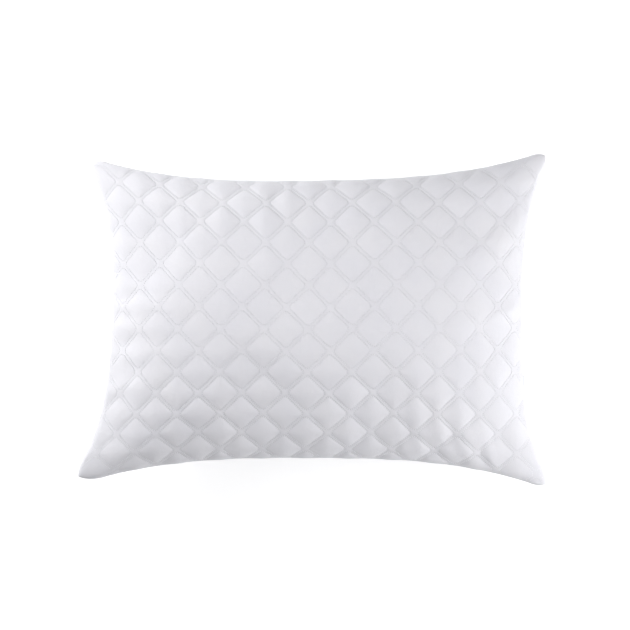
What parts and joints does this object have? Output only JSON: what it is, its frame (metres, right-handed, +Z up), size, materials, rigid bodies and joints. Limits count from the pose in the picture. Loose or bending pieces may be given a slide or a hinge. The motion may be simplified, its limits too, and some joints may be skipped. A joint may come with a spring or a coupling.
{
  "type": "bed pillow",
  "caption": "Plump rectangular bed pillow in a white diamond-quilted cover with pulled-in sides, pointed corners and a knife-edge seam, filled with loose fibre.",
  "frame": {"origin": "on the surface that the pillow rests on, under the centre of its box", "axes": "+X along the long side, +Y along the short side, +Z up through the front panel; the care label hangs under the +X side"},
  "size_m": [0.686, 0.486, 0.161],
  "materials": {
    "face_cloth": "smooth white microfibre, soft sheen",
    "wadding": "matt polyester fleece",
    "backing": "thin spunbond sheet",
    "thread": "white polyester thread, slight sheen",
    "fill": "loose siliconised polyester fibre",
    "label_tape": "blank white woven tape"
  },
  "bodies": {
    "root": {"front_face_fabric": "face_cloth", "front_wadding": "wadding", "front_backing": "backing", "front_quilting_thread": "thread", "rear_face_fabric": "face_cloth", "rear_wadding": "wadding", "rear_backing": "backing", "rear_quilting_thread": "thread", "fibre_fill": "fill", "front_seam_allowance": "face_cloth", "rear_seam_allowance": "face_cloth", "perimeter_seam_thread": "thread", "overlock_thread": "thread", "closing_seam_thread": "thread", "care_label": "label_tape"}
  },
  "joints": []
}
